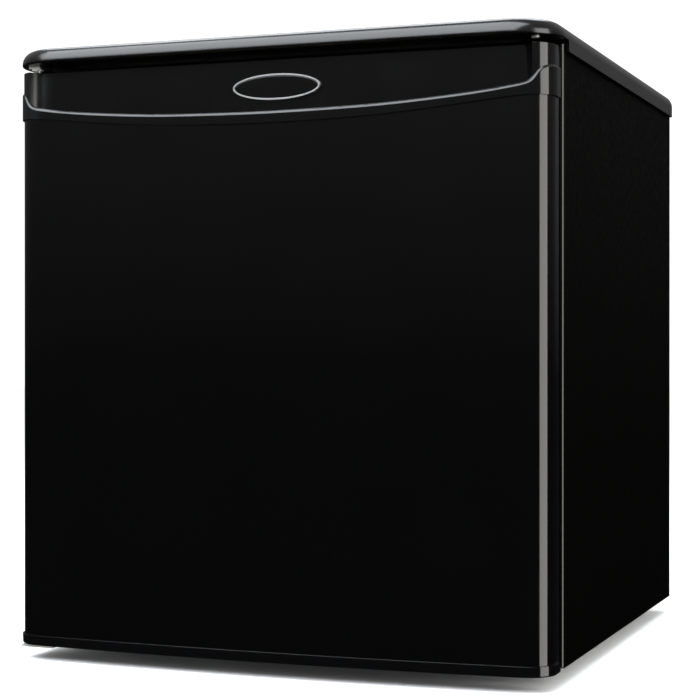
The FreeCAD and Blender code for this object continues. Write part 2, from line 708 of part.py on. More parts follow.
def bush(z_flange, way):
    """A hinge bush: a flange on the cap and a sleeve that reaches into the door."""
    start = point(hinge_x, hinge_y, z_flange)
    up = Vector(0, 0, way)
    sleeve = rod_shape(start, start + up * (bush_deep + 1.0), bush_r)
    plate = rod_shape(start - up * 0.5, start, bush_r + 0.9)
    bore = rod_shape(start - up * 2, start + up * bush_deep, pin_r + pin_play)
    return sleeve.fuse(plate).cut(bore).removeSplitter()


feature("door_hinge_bushes", Part.makeCompound([bush(door_z1, -1), bush(door_z0, 1)]))


def dyke(grow, y0):
    """The raised frame of the door liner, grown or shrunk by a wall thickness."""
    g = float(grow)
    y1 = float(front_y + dyke_out) + g
    half, inner = float(dyke_half) + g, float(dyke_half - dyke_w) - g
    z0, z1 = float(room_z0) + 10 - g, float(room_z1) - 10 + g
    width = float(dyke_w) + 2 * g
    outer = box_shape(-half, half, y0, y1, z0, z1)
    outer = outer.makeFillet(14 + g, [e for e in outer.Edges if abs(e.Vertexes[0].Y - e.Vertexes[-1].Y) > 1])
    hole = box_shape(-inner, inner, float(y0) - 1, y1 + 1, z0 + width, z1 - width)
    hole = hole.makeFillet(4, [e for e in hole.Edges if abs(e.Vertexes[0].Y - e.Vertexes[-1].Y) > 1])
    ring = outer.cut(hole)
    crest = [e for e in ring.Edges if all(abs(v.Y - y1) < 1e-6 for v in e.Vertexes)]
    return ring.makeFillet(3 + g / 2, crest)


plate_half = float(half_w) - rear_frame - 0.3
plate = box_shape(-plate_half, plate_half, door_y - liner_t, door_y, z_floor + rear_frame + 0.3,
                  z_high - rear_frame - 0.3)
door_liner = plate.fuse(dyke(0, door_y - liner_t)).cut(dyke(-float(liner_t), door_y - liner_t - 1))
bin_zs = [room_z0 + bin_low, room_z0 + bin_high]
boss_up = float(bin_ht) * 0.55
boss_y = float(front_y) + 2
for z in bin_zs:
    for side in (-1, 1):
        x = side * (float(dyke_half - dyke_w) + 1)
        door_liner = door_liner.fuse(rod_shape(point(x, boss_y, float(z) + boss_up),
                                               point(x - side * 5.5, boss_y, float(z) + boss_up), 3))
feature("door_liner", door_liner.removeSplitter())

foam_in = float(cap_wall) + 0.1
door_foam = door_block(foam_in, z_floor + foam_in, z_high - foam_in, foam_in)
door_foam = door_foam.cut(hand_pocket(foam_in))
door_foam = door_foam.fuse(dyke(-float(liner_t) - 0.1, door_y - foam_in - 1))
for z, way in ((door_z1, -1), (door_z0, 1)):
    bush_end = point(hinge_x, hinge_y, float(z) + way * (bush_deep + 1.1))
    door_foam = door_foam.cut(rod_shape(point(hinge_x, hinge_y, z), bush_end, bush_r + 0.1))
feature("door_insulation", door_foam.removeSplitter())


# Door seal: a soft magnetic profile round the back of the door, with a groove along its middle.
def seal():
    half, width = float(half_w - seal_inset) - 1, float(seal_w)
    z0, z1 = float(door_z0 + seal_inset) + 1, float(door_z1 - seal_inset) - 1
    y0, y1 = float(door_y) + 0.1, float(front_y - seal_play)

    def ring(outer, inner, y_from, y_to, corner):
        big = box_shape(-half + outer, half - outer, y_from, y_to, z0 + outer, z1 - outer)
        big = big.makeFillet(corner, [e for e in big.Edges if abs(e.Vertexes[0].Y - e.Vertexes[-1].Y) > 1])
        small = box_shape(-half + inner, half - inner, y_from - 1, y_to + 1, z0 + inner, z1 - inner)
        return big.cut(small)

    foot = ring(0, width, y0, y0 + 2.5, 4)
    neck = ring(3, width - 3, y0 + 2, y1 - 3, 3)
    head = ring(1, width - 1, y1 - 3.5, y1, 4)
    return foot.fuse([neck, head]).removeSplitter()


feature("door_seal", seal())


# Badge: a plain domed oval in a thin bright rim on the pocket wall.
badge_w = cell("badge_w", 72)
badge_x = cell("badge_x", 3.5)              # badge to the right of the middle
badge_ht = cell("badge_ht", 20)
badge_z = door_z1 - 21
badge_turn = Rotation(Vector(1, 0, 0), 90)


def oval(grow, depth):
    major, minor = float(badge_w) / 2 + grow, float(badge_ht) / 2 + grow
    curve = Part.Ellipse(Vector(0, 0, 0), major, minor)
    return Part.Face(Part.Wire(curve.toShape())).extrude(Vector(0, 0, depth))


badge_spot = Placement(point(badge_x, pocket_y, badge_z), badge_turn)
rim = oval(0, 2.4).cut(oval(-1.3, 5)).fuse(oval(0, 0.6))
feature("badge_rim", rim.removeSplitter(), badge_spot)
face = oval(-1.4, 1.5)
face = face.makeFillet(0.7, [e for e in face.Edges if e.CenterOfMass.z > 1])
feature("badge_plate", face, Placement(point(badge_x, pocket_y - 0.65, badge_z), badge_turn))


# Door bins hang on the liner's bosses by slots in their ends.
def door_bin(z0):
    half = float(dyke_half - dyke_w) - 1
    wall = float(bin_wall)
    y0, y1 = float(door_y) + 0.4, float(front_y + bin_reach)
    z0, z1 = float(z0), float(z0 + bin_ht)
    outer = box_shape(-half, half, y0, y1, z0, z1)
    outer = outer.makeFillet(12, [e for e in outer.Edges if upright(e) and e.Vertexes[0].Y > y1 - 1])
    inner = box_shape(-half + wall, half - wall, y0 + wall, y1 - wall, z0 + wall, z1 + 1)
    inner = inner.makeFillet(10, [e for e in inner.Edges if upright(e) and e.Vertexes[0].Y > y1 - 3])
    tub = outer.cut(inner)
    low_front = box_shape(-half + 30, half - 30, y1 - 30, y1 + 1, z0 + float(bin_ht) * 0.6, z1 + 1)
    tub = tub.cut(low_front)
    for side in (-1, 1):
        x = side * (half - wall / 2)
        slot = box_shape(x - 3, x + 3, boss_y - 3.3, boss_y + 3.3, z0 - 1, z0 + boss_up + 3.3)
        tub = tub.cut(slot)
    return tub.removeSplitter()


feature("door_bin_lower", door_bin(bin_zs[0]))
feature("door_bin_middle", door_bin(bin_zs[1]))

# ================================================================ hinges
plate_z = roof_z + 0.1
hinge_outline = [
    (hinge_x - 6, hinge_y - 6),
    (hinge_x + 6, hinge_y - 6),
    (hinge_x + 7, hinge_y + 12),
    (hinge_x + 32, front_y + 8),
    (hinge_x + 32, front_y + 44),
    (hinge_x - 11, front_y + 44),
    (hinge_x - 11, front_y + 4),
    (hinge_x - 7, hinge_y + 12),
]
top_plate = padded("top_hinge_plate", hinge_outline, bracket_t, 0, 0, plate_z)
rounded(top_plate, 2.5, upright, "top_hinge_plate")
top_tab = block("top_hinge_tab", hinge_x - 1, hinge_x + 5.5, hinge_y - 7.5, hinge_y - 5.5, plate_z - 1.6,
                plate_z + 1)
top_bracket = fuse("top_hinge_whole", top_plate, top_tab)
holes = [rod(f"top_hinge_hole_{n}", x, y, plate_z - 1, screw_r + 0.2, 5)
         for n, (x, y) in enumerate(top_screws)]
holes.append(rod("top_hinge_seat", hinge_x, hinge_y, plate_z - 1, pin_r + 0.02, 5))
keep(cut("top_hinge_drilled", top_bracket, *holes), "top_hinge_bracket")

pin_reach = 11                              # how far each pin enters its bush
top_pin_z0 = door_z1 - pin_reach
top_pin = [
    (0, 0),
    (pin_r - 0.6, 0),
    (pin_r, 0.6),
    (pin_r, plate_z - 0.05 - top_pin_z0 - 1.0),
    (pin_r + 1.5, plate_z - 0.05 - top_pin_z0 - 1.0),
    (pin_r + 1.5, plate_z - 0.05 - top_pin_z0),
    (pin_r, plate_z - 0.05 - top_pin_z0),
    (pin_r, plate_z + bracket_t - top_pin_z0),
    (0, plate_z + bracket_t - top_pin_z0),
]
keep(turned("top_hinge_pin", top_pin, hinge_x, hinge_y, top_pin_z0), "top_hinge_pin")

# Lower bracket: a leaf on the cabinet front and an arm under the door.
arm_z1 = door_z0 - 0.8
low_outline = [
    (front_y - 0.1, arm_z1 - bracket_t),
    (front_y - 0.1, under_z + 13),
    (front_y - 2.1, under_z + 13),
    (front_y - 2.1, arm_z1),
    (hinge_y - 7, arm_z1),
    (hinge_y - 7, arm_z1 - bracket_t),
]
low_bend = padded("bottom_hinge_bend", low_outline, 28, hinge_x - 11, 0, 0, "YZ_Plane")
low_tools = [rod("bottom_hinge_seat", hinge_x, hinge_y, arm_z1 - bracket_t - 1, pin_r + 0.02, 5)]
low_tools += [rod(f"bottom_hinge_hole_{n}", -x, front_y - 4, z, screw_r + 0.2, 6, along_back)
              for n, (x, z) in enumerate(front_holes)]
keep(cut("bottom_hinge_drilled", low_bend, *low_tools), "bottom_hinge_bracket")
low_pin = [
    (0, 0),
    (pin_r, 0),
    (pin_r, door_z0 + pin_reach - 0.6 - (arm_z1 - bracket_t)),
    (pin_r - 0.6, door_z0 + pin_reach - (arm_z1 - bracket_t)),
    (0, door_z0 + pin_reach - (arm_z1 - bracket_t)),
]
keep(turned("bottom_hinge_pin", low_pin, hinge_x, hinge_y, arm_z1 - bracket_t), "bottom_hinge_pin")


def flat_screw(at, along, shank):
    """A low flat-head screw for the narrow gap behind the door."""
    head = rod_shape(at - along * 0.8, at, screw_head * 0.8)
    return head.fuse(rod_shape(at, at + along * shank, screw_r)).removeSplitter()


hinge_screws = [screw_shape(point(x, y, plate_z + bracket_t), Vector(0, 0, -1), 8) for x, y in top_screws]
hinge_screws += [flat_screw(point(-x, front_y - 2.1, z), Vector(0, 1, 0), 8) for x, z in front_holes]
feature("hinge_screws", Part.makeCompound(hinge_screws))

feature("spare_hole_plugs", Part.makeCompound([flat_screw(point(x, front_y - 0.02, z), Vector(0, 1, 0), 5)
                                               for x, z in front_holes]))

feature("worktop_plug", flat_screw(point(spare_x, spare_y, nose_z - 0.02), Vector(0, 0, 1), 5))

# ================================================================ feet and spacers
for label, side in (("front_foot_left", -1), ("front_foot_right", 1)):
    foot_outline = [
        (0, 0),
        (foot_r - 1, 0),
        (foot_r, 1),
        (foot_r, 5),
        (stem_r + 3, 9),
        (stem_r, 9),
        (stem_r, under_z + socket_ht - 6),
        (0, under_z + socket_ht - 6),
    ]
    keep(turned(label, foot_outline, side * foot_x, foot_y, 0), label)

stem_play = cell("stem_play", 0.08)         # running clearance of a foot's stem
socket_outline = [
    (stem_r + stem_play, under_z),
    (socket_r, under_z),
    (socket_r, under_z + socket_ht),
    (0, under_z + socket_ht),
    (0, under_z + socket_ht - 2),
    (stem_r + stem_play, under_z + socket_ht - 2),
]
sockets = [turned(f"socket_{n}", socket_outline, side * foot_x, foot_y, 0) for n, side in enumerate((-1, 1))]
keep(group("foot_sockets_pair", sockets), "foot_sockets")

rear_foot_y = rear_y - 45
rear_outline = [(0, 0), (foot_r, 0), (foot_r - 3, under_z - 0.05), (0, under_z - 0.05)]
rear_feet = [turned(f"rear_foot_{n}", rear_outline, side * foot_x, rear_foot_y, 0)
             for n, side in enumerate((-1, 1))]
keep(group("rear_feet_pair", rear_feet), "rear_feet")

spacers = []
for n, (side, z) in enumerate([(s, z) for s in (-1, 1) for z in spacer_zs]):
    spacer_outline = [
        (0, -5),
        (2, -5),
        (2, 0.02),
        (7, 0.02),
        (7, spacer_t - 1),
        (6, spacer_t),
        (0, spacer_t),
    ]
    spacers.append(turned(f"spacer_{n}", spacer_outline, side * spacer_x, rear_y, z,
                          Rotation(Vector(1, 0, 0), -90)))
keep(group("spacer_set", spacers), "wall_spacers")

# ================================================================ compressor bay
bay_floor = 1.5
channel_outline = [
    (bay_y + 1, under_z),
    (rear_y - 2, under_z),
    (rear_y - 2, under_z + 14),
    (rear_y - 2 - bay_floor, under_z + 14),
    (rear_y - 2 - bay_floor, under_z + bay_floor),
    (bay_y + 1 + bay_floor, under_z + bay_floor),
    (bay_y + 1 + bay_floor, under_z + 14),
    (bay_y + 1, under_z + 14),
]
channel = padded("channel_blank", channel_outline, inside_half * 2, -inside_half, 0, 0, "YZ_Plane")
can_x = 62
can_y = bay_y + 78
mount_x = 66
mount_y = 50
grommet_z = under_z + bay_floor
grommet_ht = 9
mounts = [(can_x + sx * mount_x, can_y + sy * mount_y) for sx in (-1, 1) for sy in (-1, 1)]
channel_holes = [rod(f"channel_hole_{n}", x, y, under_z - 1, 3.2, 5) for n, (x, y) in enumerate(mounts)]
keep(cut("compressor_channel_cut", channel, *channel_holes), "compressor_channel")

grommet_outline = [(4, 0.05), (9, 0.05), (7.5, 3), (7.5, 6), (9, grommet_ht), (4, grommet_ht)]
grommets = [turned(f"grommet_{n}", grommet_outline, x, y, grommet_z) for n, (x, y) in enumerate(mounts)]
keep(group("grommet_set", grommets), "compressor_grommets")
bolt_ht = grommet_ht + 2.6
bolt_outline = [
    (0, -bay_floor - 2),
    (3, -bay_floor - 2),
    (3, bolt_ht + 0.1),
    (7, bolt_ht + 0.1),
    (7, bolt_ht + 3.5),
    (0, bolt_ht + 3.5),
]
bolts = [turned(f"mount_bolt_{n}", bolt_outline, x, y, grommet_z) for n, (x, y) in enumerate(mounts)]
keep(group("bolt_set", bolts), "compressor_bolts")

feet_z = grommet_z + grommet_ht + 0.05
foot_plate = [
    (-mount_x - 12, -mount_y - 12),
    (mount_x + 12, -mount_y - 12),
    (mount_x + 12, mount_y + 12),
    (-mount_x - 12, mount_y + 12),
]
feet_body = padded("compressor_plate", foot_plate, 2.5, can_x, can_y, feet_z)
rounded(feet_body, 12, upright, "compressor_plate")
feet_holes = [rod(f"plate_hole_{n}", x, y, feet_z - 1, 3.2, 5) for n, (x, y) in enumerate(mounts)]
keep(cut("compressor_feet_cut", feet_body, *feet_holes), "compressor_feet")

can_z = feet_z + 2.55
can_outline = [
    (0, 0),
    (can_r - 24, 0),
    (can_r - 10, 5),
    (can_r - 4, 16),
    (can_r - 3, can_ht * 0.5),
    (can_r, can_ht * 0.5 + 2),
    (can_r, can_ht * 0.5 + 8),
    (can_r - 1, can_ht * 0.5 + 9),
    (can_r - 2, can_ht - 18),
    (can_r - 12, can_ht - 5),
    (can_r - 26, can_ht),
    (0, can_ht),
]
can_body = turned("compressor_can_body", can_outline, can_x, can_y, can_z)
keep(can_body, "compressor_can")
cover = block("terminal_cover_block", can_x - can_r - 22, can_x - can_r * 0.8, can_y - 22, can_y + 22,
              can_z + 20, can_z + 62)
cover_bite = rod("terminal_cover_bite", can_x, can_y, can_z, can_r + 0.3, can_ht)
keep(cut("terminal_cover_cut", cover, cover_bite), "terminal_cover")

# Drain pan on top of the compressor: a shallow tray that the defrost water boils away from.
pan_z = can_z + can_ht + 0.3
pan = block("drain_pan_block", can_x - 60, can_x + 60, can_y - 50, can_y + 50, pan_z, pan_z + 9)
pan_bowl = block("drain_pan_bowl", can_x - 58, can_x + 58, can_y - 48, can_y + 48, pan_z + 1.5, pan_z + 20)
keep(cut("drain_pan_cut", pan, pan_bowl), "drain_pan")

# ================================================================ condenser and tubes behind the cabinet
coil_y = float(panel_y) + float(recess) / 2
coil_half = float(half_w) - float(rear_fold) - 24
coil_z0 = float(bay_z) + 16
coil_runs = int((float(roof_z) - coil_z0 - 20) / float(run_pitch))
coil_bend = float(run_pitch) / 2 - 0.5
coil_leg = coil_bend + 2
coil = [Vector(coil_half, coil_y, coil_z0 - coil_leg), Vector(coil_half, coil_y, coil_z0)]
for n in range(coil_runs):
    z = coil_z0 + n * float(run_pitch)
    way = -1 if n % 2 == 0 else 1
    if n:
        coil.append(Vector(-way * coil_half, coil_y, z))
    coil.append(Vector(way * coil_half, coil_y, z))
coil_end = coil[-1]
coil.append(coil_end + Vector(0, 0, 16))
feature("condenser_tube", tube(coil, tube_r, coil_bend))

wire_thick = 0.7
wires = []
wire_count = 20
wire_z0 = coil_z0 - 6
wire_z1 = coil_z0 + (coil_runs - 1) * float(run_pitch) + 6
for n in range(wire_count):
    x = -coil_half + 30 + n * (2 * coil_half - 60) / (wire_count - 1)
    for side in (-1, 1):
        y = coil_y + side * (float(tube_r) + wire_thick + 0.02)
        wires.append(rod_shape(Vector(x, y, wire_z0), Vector(x, y, wire_z1), wire_thick))
feature("condenser_wires", Part.makeCompound(wires))

clips = []
for side in (-1, 1):
    for run in (1, coil_runs - 2):
        x = side * (coil_half - 18)
        z = coil_z0 + run * float(run_pitch)
        clip = box_shape(x - 5, x + 5, float(panel_y) + 0.1, coil_y + float(tube_r) + 2.5, z - 6, z + 6)
        bore = rod_shape(Vector(x - 8, coil_y, z), Vector(x + 8, coil_y, z), float(tube_r) + 0.05)
        mouth = box_shape(x - 8, x + 8, coil_y, coil_y + 12, z - float(tube_r) * 0.8, z + float(tube_r) * 0.8)
        clips.append(clip.cut(bore).cut(mouth))
feature("condenser_clips", Part.makeCompound(clips))

can_top = float(can_z) + float(can_ht) * 0.8
can_side = float(can_x) + float(can_r) - 0.4
discharge = [
    Vector(can_side, float(can_y), can_top - 20),
    Vector(can_side + 20, float(can_y), can_top - 20),
    Vector(can_side + 20, coil_y, can_top - 20),
    Vector(coil_half, coil_y, can_top - 20),
    Vector(coil_half, coil_y, coil_z0 - coil_leg - 0.1),
]
feature("discharge_tube", tube(discharge, tube_r, 7))

drier_x = -coil_half + 12
drier_z1 = float(bay_z) - 14
drier_outline = [
    (0, 0),
    (2, 0),
    (2, 6),
    (8, 14),
    (8, 74),
    (2.6, 84),
    (2.6, 90),
    (0, 90),
]
drier_y = coil_y - 20
keep(turned("filter_drier_body", drier_outline, drier_x, drier_y, drier_z1 - 90), "filter_drier")
capillary = [
    Vector(drier_x, drier_y, drier_z1 - 90.1),
    Vector(drier_x, drier_y, drier_z1 - 102),
    Vector(drier_x + 26, drier_y, drier_z1 - 102),
    Vector(drier_x + 26, drier_y, float(bay_z) - float(sheet_t) - 0.1),
]
feature("capillary_tube", tube(capillary, 1.1, 5))
suction = [
    Vector(float(can_x) + 10, float(can_y) - float(can_r) + 2.2, float(can_z) + 40),
    Vector(float(can_x) + 10, float(bay_y) + 12, float(can_z) + 40),
    Vector(float(can_x) - 90, float(bay_y) + 12, float(can_z) + 40),
    Vector(float(can_x) - 90, float(bay_y) + 12, float(bay_z) - float(sheet_t) - 0.1),
]
feature("suction_tube", tube(suction, 3.2, 8))

# ================================================================ ice compartment
evap_y0 = front_y + evap_front
evap_y1 = room_y1 - 4
evap_z1 = room_z1 - evap_drop
evap_z0 = evap_z1 - evap_ht
evap_box = block("evaporator_box", evap_x0, evap_x1, evap_y0, evap_y1, evap_z0, evap_z1)
evap_void = block("evaporator_void", evap_x0 + evap_t, evap_x1 - evap_t, evap_y0 - 1, evap_y1 - evap_t,
                  evap_z0 + evap_t, evap_z1 - evap_t)
keep(cut("evaporator_cut", evap_box, evap_void), "evaporator")

hangers = [rod(f"hanger_{n}", x, y, evap_z1 + 0.05, 6, evap_drop - 0.1)
           for n, (x, y) in enumerate([(x, y) for x in (evap_x0 + 25, evap_x1 - 25)
                                       for y in (evap_y0 + 30, evap_y1 - 30)])]
keep(group("hanger_set", hangers), "evaporator_hangers")

frame_y0 = evap_y0 - 9
frame_ring = block("ice_frame_ring", evap_x0 - 6, evap_x1 + 6, frame_y0, evap_y0 + 6, evap_z0 - 6,
                   evap_z1 + 6)
frame_open = block("ice_frame_open", evap_x0 + 4, evap_x1 - 4, frame_y0 - 1, evap_y0 + 10, evap_z0 + 4,
                   evap_z1 - 4)
frame_seat = block("ice_frame_seat", evap_x0 - fit, evap_x1 + fit, evap_y0 - fit, evap_y0 + 10, evap_z0 - fit,
                   evap_z1 + fit)
flap_y = frame_y0 - flap_t / 2 - 0.8
flap_z = evap_z0 + 6
frame_parts = [cut("ice_frame_cut", frame_ring, frame_open, frame_seat)]
for n, (x, way) in enumerate(((evap_x0 - 6, 1), (evap_x1 + 6, -1))):
    ear_x = x if way > 0 else x - 5.4
    frame_parts.append(block(f"ice_ear_{n}", ear_x, ear_x + 5.4, flap_y - 4, frame_y0 + 1, flap_z - 6,
                             flap_z + 6))
    pin_x = x + 2 if way > 0 else x - 13
    frame_parts.append(rod(f"ice_pin_{n}", pin_x, flap_y, flap_z, 1.8, 11, along_x))
keep(fuse("ice_frame_whole", *frame_parts), "ice_frame")

# Flap: a panel hinged along its lower edge, with a finger ledge along the top.
flap_x0 = evap_x0 - 0.2
flap_x1 = evap_x1 + 0.2
flap_z1 = evap_z1 + 3
flap_panel = block("ice_flap_panel", flap_x0, flap_x1, flap_y - flap_t / 2, flap_y + flap_t / 2, flap_z,
                   flap_z1)
flap_roll = rod("ice_flap_roll", flap_x0, flap_y, flap_z, flap_t / 2, flap_x1 - flap_x0, along_x)
flap_grip = block("ice_flap_grip", flap_x0 + 60, flap_x1 - 60, flap_y - flap_t / 2 - 9, flap_y,
                  flap_z1 - 5, flap_z1)
flap_whole = fuse("ice_flap_whole", flap_panel, flap_roll, flap_grip)
flap_holes = [rod(f"ice_flap_hole_{n}", x, flap_y, flap_z, 1.85, 9, along_x)
              for n, x in enumerate((flap_x0 - 1, flap_x1 - 8))]
keep(cut("ice_flap_cut", flap_whole, *flap_holes), "ice_flap")

# Drip tray and the two rails it hangs on.
rail_y0 = evap_y0 + 8
rail_y1 = evap_y1 - 4
lip_top = evap_z0 - 10
rails = []
for n, (x, way) in enumerate(((evap_x0 + 1, 1), (evap_x1 - 1, -1))):
    web_x = x if way > 0 else x - 2
    shelf_x = x if way > 0 else x - 10
    web = block(f"rail_web_{n}", web_x, web_x + 2, rail_y0, rail_y1, lip_top - 2, evap_z0 - 0.1)
    ledge = block(f"rail_ledge_{n}", shelf_x, shelf_x + 10, rail_y0, rail_y1, lip_top - 2, lip_top)
    rails.append(fuse(f"rail_{n}", web, ledge))
keep(group("rail_pair", rails), "tray_rails")

tray_x0 = evap_x0 + 14
tray_x1 = evap_x1 - 14
tray_y0 = evap_y0 - 14
tray_z1 = lip_top + 0.4 + 2
tray_tub = block("tray_tub", tray_x0, tray_x1, tray_y0, rail_y1, tray_z1 - tray_ht, tray_z1)
tray_rim = block("tray_rim", evap_x0 + 3.5, evap_x1 - 3.5, rail_y0 + 1, rail_y1, tray_z1 - 2, tray_z1)
tray_bowl = block("tray_bowl", tray_x0 + 2, tray_x1 - 2, tray_y0 + 2, rail_y1 - 2, tray_z1 - tray_ht + 2,
                  tray_z1 + 5)
tray_pull = block("tray_pull", tray_x0 + 70, tray_x1 - 70, tray_y0 - 8, tray_y0 + 1, tray_z1 - 3, tray_z1)
tray_whole = fuse("tray_whole", tray_tub, tray_rim, tray_pull)
keep(cut("tray_cut", tray_whole, tray_bowl), "drip_tray")

# ================================================================ thermostat
stat_x = evap_x1 + 47
stat_z = room_z1 - 34
stat_y0 = front_y + 122
stat_half = knob_r + 14
stat_body = block("stat_block", stat_x - stat_half, stat_x + stat_half, stat_y0, stat_y0 + 82, room_z1 - 62,
                  room_z1 - 0.1)
stat_void = block("stat_void", stat_x - stat_half + 2.5, stat_x + stat_half - 2.5, stat_y0 + 2.5,
                  stat_y0 + 79.5, room_z1 - 59.5, room_z1 + 1)
stat_bore = rod("stat_bore", stat_x, stat_y0 - 1, stat_z, 3.05, 8, along_back)
keep(cut("stat_cut", stat_body, stat_void, stat_bore), "thermostat_housing")

knob_outline = [
    (0, -16),
    (3, -16),
    (3, 0.4),
    (knob_r, 0.4),
    (knob_r - 1, 14),
    (knob_r - 3, 16),
    (0, 16),
]
knob_body = turned("knob_body", knob_outline, stat_x, stat_y0, stat_z, Rotation(Vector(1, 0, 0), 90))
knob_cuts = []
for n in range(12):
    angle = math.radians(30 * n + 15)
    spot_x = stat_x + (knob_r + 1.2) * math.cos(angle)
    spot_z = stat_z + (knob_r + 1.2) * math.sin(angle)
    knob_cuts.append(rod(f"knob_flute_{n}", spot_x, stat_y0 - 30, spot_z, 2.6, 26, along_back))
knob_mark = block("knob_mark", stat_x - 0.8, stat_x + 0.8, stat_y0 - 17, stat_y0 - 15.2, stat_z + 4,
                  stat_z + knob_r)
keep(cut("knob_cut", knob_body, *knob_cuts, knob_mark), "thermostat_knob")

sense_y = float(stat_y0) + 60
sense = [
    Vector(float(stat_x - stat_half) - 0.1, sense_y, float(stat_z)),
    Vector(float(evap_x1) + 3, sense_y, float(stat_z)),
    Vector(float(evap_x1) + 3, float(evap_y1) - 30, float(stat_z)),
]
feature("sensing_tube", tube(sense, 1.5, 5))


# ================================================================ wire shelves
def wire_shelf(level, y1):
    """A frame bent from one bar, a stiffening bar across it and the wires welded on top."""
    half = float(room_half) - 2 - float(frame_r)
    y0 = float(front_y + shelf_front) + float(frame_r)
    y1 = float(y1) - float(frame_r)
    z = float(room_z0 + level)
    bend = 12.0
    corners = [Vector(-half, y0, z), Vector(half, y0, z), Vector(half, y1, z), Vector(-half, y1, z)]
    loop = bent_ring(corners, bend)
    start = Vector(0, y0, z)
    ring = Part.Wire(Part.Circle(start, Vector(1, 0, 0), float(frame_r)).toShape())
    shelf = loop.makePipeShell([ring], True, False)
    bars = []
    count = int(2 * half / 19)
    lift = float(frame_r) + float(wire_r) - 0.8
    for n in range(1, count):
        x = -half + n * 2 * half / count
        bars.append(rod_shape(Vector(x, y0 - 2.5, z + lift), Vector(x, y1 + 2.5, z + lift), wire_r))
    middle = (y0 + y1) / 2
    bars.append(rod_shape(Vector(-half, middle, z), Vector(half, middle, z), float(frame_r) - 0.4))
    return shelf.fuse(bars)


feature("upper_shelf", wire_shelf(shelf_level, room_y1 - 3))
feature("lower_shelf", wire_shelf(half_level, step_y - 3))

# ---------------------------------------------------------------- check and write
doc.recompute()
names = {thing.Label for thing in made}
if len(names) != len(made):
    raise RuntimeError("two pieces share a label")
for thing in doc.Objects:
    if "Invalid" in thing.State or "Error" in thing.State:
        raise RuntimeError(f"{thing.Name} ({thing.Label}) did not build: {thing.State}")
for thing in made:
    if thing.Shape.isNull() or not thing.Shape.isValid() or not thing.Shape.Solids:
        raise RuntimeError(f"{thing.Label} has no valid solid")
os.makedirs("parts", exist_ok=True)
for thing in made:
    thing.Shape.exportStep(f"parts/{thing.Label}.step")
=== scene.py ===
import math

import bpy
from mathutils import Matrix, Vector


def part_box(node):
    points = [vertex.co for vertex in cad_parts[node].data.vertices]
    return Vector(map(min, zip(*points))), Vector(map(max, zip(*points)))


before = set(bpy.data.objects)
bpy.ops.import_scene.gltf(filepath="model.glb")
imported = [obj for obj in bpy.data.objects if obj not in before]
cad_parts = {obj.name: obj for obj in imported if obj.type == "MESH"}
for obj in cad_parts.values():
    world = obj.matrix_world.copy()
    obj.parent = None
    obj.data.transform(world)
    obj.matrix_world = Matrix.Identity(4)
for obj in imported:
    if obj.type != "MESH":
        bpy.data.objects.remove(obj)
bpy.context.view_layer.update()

# ---------------------------------------------------------------- where the picture is taken from
# A long lens at half the height of the refrigerator, turned a little to see its right side. The camera is
# level to within a fraction of a degree, so the uprights stay parallel.
camera_data = bpy.data.cameras.new("camera")
camera_data.lens = 92.84
camera_data.sensor_width = 36
camera_data.clip_end = 50
camera = bpy.data.objects.new("camera", camera_data)
camera.location = (0.5452, -1.4894, 0.2523)
camera.rotation_euler = (math.radians(89.873), 0, math.radians(20.692))
bpy.context.collection.objects.link(camera)
bpy.context.scene.camera = camera


# ---------------------------------------------------------------- door's bottom cap and badge plate
# Polished black injection mouldings: the cap closes the foot of the door, the plate carries the badge.
# Their gloss is even, with the faint ripple of a moulding and some fine wiping marks.
class Value:
    """One socket of a material, used in ordinary arithmetic."""

    def __init__(self, finish, socket):
        self.finish = finish
        self.socket = socket

    def maths(self, operation, *others):
        return self.finish.node("ShaderNodeMath", {"operation": operation}, *others)

    def __add__(self, other):
        return self.maths("ADD", self, other)

    def __mul__(self, other):
        return self.maths("MULTIPLY", self, other)


